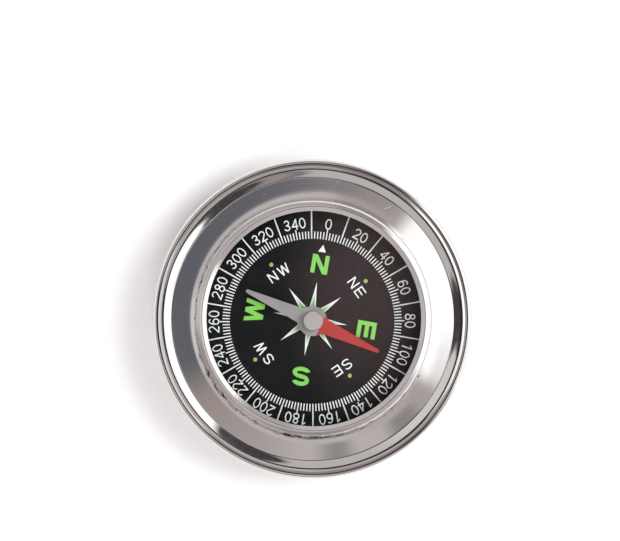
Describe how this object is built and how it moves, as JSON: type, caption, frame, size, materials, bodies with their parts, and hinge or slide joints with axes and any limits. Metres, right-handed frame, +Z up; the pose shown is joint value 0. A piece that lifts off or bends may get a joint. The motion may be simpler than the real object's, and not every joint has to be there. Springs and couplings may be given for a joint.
{
  "type": "pocket compass",
  "caption": "Round pocket compass: a pressed steel case with a rolled rim, coved bezel and glass lens, and a needle that turns on a jewelled pivot over a black dial.",
  "frame": {"origin": "centre of the flat base, which is the centre of the bounding box's underside", "axes": "+Z up through the lens, +Y towards the dial's north, +X towards its east"},
  "size_m": [0.075, 0.075, 0.0123],
  "materials": {
    "case_steel": "pressed stainless steel, softly polished, with fine wear scratches",
    "ring_steel": "turned stainless steel, bright polished",
    "lens_glass": "flat clear mineral glass",
    "gasket_rubber": "black rubber",
    "chamber_plastic": "black moulded plastic",
    "carrier_plastic": "dark grey moulded plastic",
    "dial_enamel": "satin black print on aluminium, with white and green marks",
    "packing_board": "pressed fibre board",
    "pivot_brass": "turned brass",
    "pin_steel": "hardened and ground steel",
    "needle_paint": "thin steel, one arm satin red and the other satin silver-grey",
    "hub_aluminium": "turned aluminium, satin",
    "jewel": "polished synthetic ruby"
  },
  "bodies": {
    "case": {"back_shell": "case_steel", "front_bezel": "case_steel", "lens_ring": "ring_steel", "lens": "lens_glass", "lens_gasket": "gasket_rubber", "spacer_ring": "chamber_plastic", "dial_plate": "dial_enamel", "dial_carrier": "carrier_plastic", "packing_disc": "packing_board", "pivot_post": "pivot_brass", "post_washer": "pivot_brass", "pivot_pin": "pin_steel"},
    "needle": {"needle_blade": "needle_paint", "needle_hub": "hub_aluminium", "jewel_cup": "jewel", "hub_cap": "hub_aluminium"}
  },
  "joints": [
    {"name": "needle_spin", "type": "hinge", "parent": "case", "child": "needle", "pos_m": [0, -0.00055, 0.00908], "axis": [0, 0, 1], "continuous": true}
  ]
}
